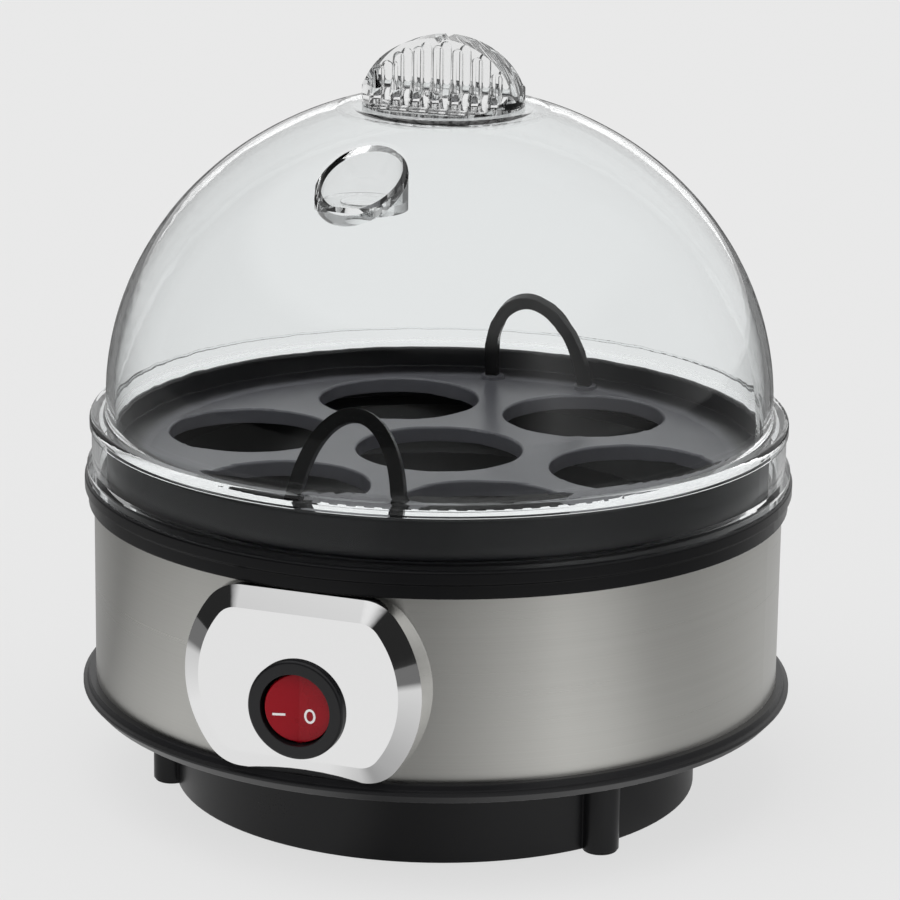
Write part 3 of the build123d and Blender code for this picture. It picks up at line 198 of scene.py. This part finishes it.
# Lengths are in metres: grain is the depth of the bump, edge the radius that light sees on an edge
def mouldedBlack(name, shade, rough, specular, grain, edge):
    f = Finish(name)
    cloud = f.noise(38, 3)
    fine = f.noise(2600)
    return f.out(f.principled({
        "Base Color": f.mix(cloud, scaled(shade, 0.8), scaled(shade, 1.25)),
        "Roughness": rough + 0.1 * (cloud - 0.5) + 0.06 * (fine - 0.5),
        "Specular IOR Level": specular,
        "Normal": f.bump(fine, grain, 0.5, f.rounded(edge) if edge else None),
    }))


def plainMetal(name, shade, rough):
    f = Finish(name)
    cloud = f.noise(90, 3)
    return f.out(f.principled({
        "Base Color": f.mix(cloud, scaled(shade, 0.82), scaled(shade, 1.1)),
        "Metallic": 1.0,
        "Roughness": rough + 0.12 * (cloud - 0.5),
        "Normal": f.bump(f.noise(1800), 0.00002, 0.4),
    }))


def plainMatter(name, shade, rough):
    f = Finish(name)
    fine = f.noise(1500)
    return f.out(f.principled({
        "Base Color": f.mix(f.noise(120, 3), scaled(shade, 0.88), scaled(shade, 1.08)),
        "Roughness": rough + 0.1 * (fine - 0.5),
        "Specular IOR Level": 0.4,
        "Normal": f.bump(fine, 0.00003, 0.5),
    }))


def wovenSleeve(name):
    f = Finish(name)
    place = f.node("Mapping", {}, {"Vector": f.spot()})
    weave = f.node("TexWave", {"wave_type": "BANDS", "bands_direction": "DIAGONAL"},
                   {"Vector": place, "Scale": 700, "Distortion": 1.5})
    return f.out(f.principled({
        "Base Color": f.mix(weave, colour(0.62, 0.6, 0.53), colour(0.86, 0.84, 0.78)),
        "Roughness": 0.8,
        "Normal": f.bump(weave, 0.0001, 0.6),
    }))


bandFacts = {
    "dark": (0.55, 0.545, 0.515),
    "light": (0.67, 0.665, 0.635),
    "streaks": (12, 12, 5200),    # hair lines round the body
    "broadStreaks": (7, 7, 620),
    "rough": 0.3,
    "stretch": 0.85,              # how far the hair lines draw a reflection out
}


def brushedBand(name, facts):
    f = Finish(name)
    streak = f.noise(1, scale=facts["streaks"])
    broad = f.noise(1, scale=facts["broadStreaks"])
    return f.out(f.principled({
        "Base Color": f.mix(0.6 * streak + 0.4 * broad, colour(*facts["dark"]), colour(*facts["light"])),
        "Metallic": 1.0,
        "Roughness": facts["rough"] + 0.1 * (streak - 0.5) + 0.05 * (broad - 0.5),
        "Normal": f.bump(streak, 0.00002, 0.2),
        "Anisotropic": facts["stretch"],
        "Anisotropic Rotation": 0.25,
    }))


plateFacts = {"shade": 0.93, "rough": 0.05, "smudges": 0.03}


def chromedPlate(name, facts):
    f = Finish(name)
    return f.out(f.principled({
        "Base Color": grey(facts["shade"]),
        "Metallic": 1.0,
        "Roughness": facts["rough"] + facts["smudges"] * (f.noise(60, 4) - 0.4),
    }))


# Painted sheen: the tray's floor colour is a lighter black that stands in for the pale backdrop mirrored at a
# grazing angle. The wall colour is the moulding's own black, and the real tray is one moulding.
trayFacts = {
    "floor": (0.082, 0.082, 0.092),
    "wall": (0.004, 0.004, 0.0045),
    "cloud": (0.012, 0.012, 0.014),
    "floorEnds": 0.0052,          # square of the distance from the middle, in square metres
    "wallStarts": 0.0056,
    "rough": 0.3,
    "edge": 0.0004,
}


def trayBlackPaintedSheen(name, facts):
    f = Finish(name)
    cloud = f.noise(38, 3)
    x, y = f.split(f.spot(), "XY")
    enlarge = 100                 # brings the squares into the ramp's 0 to 1
    stops = [(facts["floorEnds"] * enlarge, 1), (facts["wallStarts"] * enlarge, 0)]
    # Painted sheen mask: inside floorEnds the tray gets the lighter floor colour, and past wallStarts the
    # wall's plain black
    paintedSheenMask = f.ramp((x * x + y * y) * enlarge, stops)
    paintedSheenTone = f.mix(paintedSheenMask, colour(*facts["wall"]), colour(*facts["floor"]))
    return f.out(f.principled({
        "Base Color": f.mix(0.3 * cloud, paintedSheenTone, colour(*facts["cloud"])),
        "Roughness": facts["rough"] + 0.1 * (cloud - 0.5),
        "Specular IOR Level": 0.5,
        "Normal": f.rounded(facts["edge"]),
    }))


rockerFacts = {"dark": (0.24, 0.001, 0.006), "light": (0.31, 0.002, 0.010), "rough": 0.28, "edge": 0.0003}


def glossRed(name, facts):
    f = Finish(name)
    cloud = f.noise(180)
    return f.out(f.principled({
        "Base Color": f.mix(cloud, colour(*facts["dark"]), colour(*facts["light"])),
        "Roughness": facts["rough"] + 0.05 * (cloud - 0.5),
        "Specular IOR Level": 0.25,
        "Subsurface Weight": 0.15,
        "Subsurface Radius": (0.004, 0.0006, 0.0006),
        "Subsurface Scale": 0.5,
        "Normal": f.rounded(facts["edge"]),
    }))


knobFacts = {"tint": (0.995, 0.999, 0.998), "rough": 0.012, "bend": 1.49}
lidFacts = {
    "tint": (0.985, 0.999, 1.0),
    "ventTint": (0.99, 0.999, 1.0),
    "rough": 0.012,
    "bend": 1.12,                 # lower than the plastic's own, so that fine facets don't show
    "ventBend": 1.49,
    "lowGloss": (0.088, 0.1),     # height and coat: the low wall mirrors less of the floor
    "highGloss": (0.095, 0.45),
    "coatRough": 0.02,
    "ventAt": (-0.003, -0.0446),
    "ventReach": (0.0107, 0.0109),
}


def clearBody(f, tint, rough, bend, more=None):
    sockets = {"Base Color": colour(*tint), "Roughness": rough, "IOR": bend, "Transmission Weight": 1.0}
    return f.principled({**sockets, **(more or {})})


def scuffed(f, rough):
    return rough * (0.6 + 0.8 * f.noise(14, 3))


def letLightThrough(f, body):
    clear = f.node("BsdfTransparent", {}, {"Color": colour(0.97, 0.975, 0.975)})
    return f.mixShader(f.anyRay("Shadow", "Diffuse"), body, clear)


def clearKnob(name, facts):
    f = Finish(name)
    body = clearBody(f, facts["tint"], scuffed(f, facts["rough"]), facts["bend"])
    return f.out(letLightThrough(f, body))


def clearLid(name, facts):
    f = Finish(name)
    rough = scuffed(f, facts["rough"])
    spot = f.spot()
    enlarge = 5                   # brings heights into the ramp's 0 to 1
    stops = [(height * enlarge, level) for height, level in (facts["lowGloss"], facts["highGloss"])]
    gloss = f.ramp(f.split(spot, "Z")[0] * enlarge, stops)
    coat = {"Coat Weight": gloss, "Coat Roughness": facts["coatRough"]}
    shell = clearBody(f, facts["tint"], rough, facts["bend"], coat)
    vent = clearBody(f, facts["ventTint"], rough, facts["ventBend"])
    # The vent's own wall bends light fully, the even shell hardly at all
    x, y = facts["ventAt"]
    beside = f.node("Mapping", {}, {"Vector": spot, "Location": (-x, -y, 0), "Scale": (1, 1, 0)})
    enlarge = 50
    inner, outer = facts["ventReach"]
    near = f.ramp(f.length(beside) * enlarge, [(inner * enlarge, 1), (outer * enlarge, 0)])
    return f.out(letLightThrough(f, f.mixShader(near, shell, vent)))


finishes = {
    "housing_black": mouldedBlack("housing_black", (0.010, 0.010, 0.011), 0.3, 0.25, 0.00001, 0.0005),
    "collar_black": mouldedBlack("collar_black", (0.004, 0.004, 0.0045), 0.22, 0.18, 0.000004, 0.0004),
    "tray_black": trayBlackPaintedSheen("tray_black", trayFacts),
    "loop_black": mouldedBlack("loop_black", (0.004, 0.004, 0.004), 0.22, 0.25, 0.000003, 0.0003),
    "foot_rubber": mouldedBlack("foot_rubber", (0.02, 0.02, 0.02), 0.7, 0.3, 0.00005, 0),
    "band_steel": brushedBand("band_steel", bandFacts),
    "plate_chrome": chromedPlate("plate_chrome", plateFacts),
    "bezel_black": mouldedBlack("bezel_black", (0.006, 0.006, 0.007), 0.3, 0.4, 0.00001, 0.0003),
    "rocker_red": glossRed("rocker_red", rockerFacts),
    "mark_white": plainMatter("mark_white", (0.85, 0.82, 0.82), 0.5),
    "lid_clear": clearLid("lid_clear", lidFacts),
    "dish_dark": mouldedBlack("dish_dark", (0.007, 0.007, 0.007), 0.4, 0.25, 0.000002, 0),
    "tube_steel": plainMetal("tube_steel", (0.5, 0.5, 0.49), 0.3),
    "plain_steel": plainMetal("plain_steel", (0.62, 0.62, 0.62), 0.32),
    "spreader_aluminium": plainMetal("spreader_aluminium", (0.78, 0.78, 0.79), 0.4),
    "terminal_brass": plainMetal("terminal_brass", (0.75, 0.55, 0.25), 0.3),
    "ceramic_white": plainMatter("ceramic_white", (0.82, 0.8, 0.75), 0.45),
    "seal_rubber": plainMatter("seal_rubber", (0.42, 0.07, 0.04), 0.6),
    "sleeve_fabric": wovenSleeve("sleeve_fabric"),
    "block_white": plainMatter("block_white", (0.8, 0.8, 0.77), 0.45),
    "lead_insulation": plainMatter("lead_insulation", (0.4, 0.03, 0.02), 0.45),
    "inlet_black": mouldedBlack("inlet_black", (0.02, 0.02, 0.02), 0.5, 0.35, 0.00003, 0.0003),
}
ownFinishes = {"lid_knob": clearKnob("knob_clear", knobFacts)}
for row in frame["record"]["subparts"]:
    thing = frame["nodes"][row["node"]]
    if not thing.material_slots:
        thing.data.materials.append(None)
    for slot in thing.material_slots:
        slot.material = ownFinishes.get(row["node"]) or finishes[row["material_slot"]]
print("finishes set on the frame")


# Floor, backdrop and light. Gloss and clear plastic see a studio of their own: light levels round
# the horizon and on the near floor, white overhead, and a dark floor further out
stageFacts = {
    "pale": 0.8149,          # the photograph's even grey
    "floorSize": 6.0,
    "floorShade": 0.78,
    "shadowShare": 0.18,     # how much of the floor's own shadow shows
    "nearFloor": 0.30,       # metres from the middle: gloss sees the levels of floorRound up to here
    "farFloor": 0.39,        # and farLevel from here on
    "farLevel": 0.015,
    "softBoxLow": 0.56,      # height in the sky where the white overhead begins, and where it is full
    "softBoxHigh": 0.68,
    "skyLight": 0.55,
    "horizon": [(-180, 0.81), (-150, 0.81), (-116, 0.3), (-100, 0.25), (-84, 0.02), (40, 0.02), (50, 0.25),
                (61, 0.9), (78, 0.5), (98, 0.28), (122, 0.6), (150, 0.81)],
    "floorRound": [(-180, 0.5), (-112, 0.32), (-90, 0.2), (-74, 0.5), (-52, 0.81), (-3, 0.81), (9, 0.26),
                   (20, 0.36), (38, 0.7), (54, 0.86), (66, 0.78), (82, 0.44), (98, 0.36), (132, 0.5)],
}
# Strength, width, turn from the switch's side to the right, and height, the last three in degrees
lampFacts = {"key": (1.35, 60, -25, 62), "fill": (0.5, 90, 70, 40)}


def makeFloor(facts):
    mesh = bpy.data.meshes.new("floor")
    bm = bmesh.new()
    bmesh.ops.create_grid(bm, x_segments=1, y_segments=1, size=facts["floorSize"] / 2)
    bm.to_mesh(mesh)
    bm.free()
    floor = bpy.data.objects.new("floor", mesh)
    bpy.context.scene.collection.objects.link(floor)
    f = Finish("floor")
    lit = f.node("BsdfDiffuse", {}, {"Color": grey(facts["floorShade"])})
    even = f.node("Emission", {}, {"Color": grey(facts["pale"]), "Strength": 1.0})
    spot = f.spot()
    x, y = f.split(spot, "XY")
    far = f.ramp(f.length(spot), [(facts["nearFloor"], 0), (facts["farFloor"], 1)])
    level = f.mix(far, f.roundRamp(x, y, facts["floorRound"]), grey(facts["farLevel"]))
    mirrored = f.node("Emission", {}, {"Color": level, "Strength": 1.0})
    # The depth counts mirrors only, so that the floor seen straight through the lid stays even
    bounced = f.node("LightPath", output="Glossy Depth")
    own = f.mixShader(facts["shadowShare"], f.mixShader(bounced, even, mirrored), lit)
    mesh.materials.append(f.out(f.mixShader(f.anyRay("Camera", "Glossy", "Transmission"), lit, own)))


def makeSky(facts):
    world = bpy.data.worlds.new("studio")
    bpy.context.scene.world = world
    f = Finish("studio", world)
    pale = f.node("Background", {}, {"Color": grey(facts["pale"]), "Strength": 1.0})
    soft = f.node("Background", {}, {"Color": grey(1), "Strength": facts["skyLight"]})
    x, y, z = f.split(f.spot("Generated"), "XYZ")
    overhead = f.ramp(z, [(facts["softBoxLow"], 0), (facts["softBoxHigh"], 1)])
    level = f.mix(overhead, f.roundRamp(x, y, facts["horizon"]), grey(facts["pale"]))
    studio = f.node("Background", {}, {"Color": level, "Strength": 1.0})
    mirrored = f.mixShader(f.anyRay("Glossy", "Transmission"), pale, studio)
    f.out(f.mixShader(f.anyRay("Camera", "Glossy", "Transmission"), soft, mirrored))


def makeLamp(name, strength, width, turn, height):
    data = bpy.data.lights.new(name, "SUN")
    data.energy = strength
    data.angle = radians(width)
    lamp = bpy.data.objects.new(name, data)
    bpy.context.scene.collection.objects.link(lamp)
    turn, height = radians(turn), radians(height)
    way = Vector((sin(turn) * cos(height), -cos(turn) * cos(height), sin(height)))
    lamp.rotation_euler = way.to_track_quat("Z", "Y").to_euler()
    lamp.visible_glossy = lamp.visible_transmission = False


makeFloor(stageFacts)
makeSky(stageFacts)
for name, facts in lampFacts.items():
    makeLamp(name, *facts)
print("stage set")
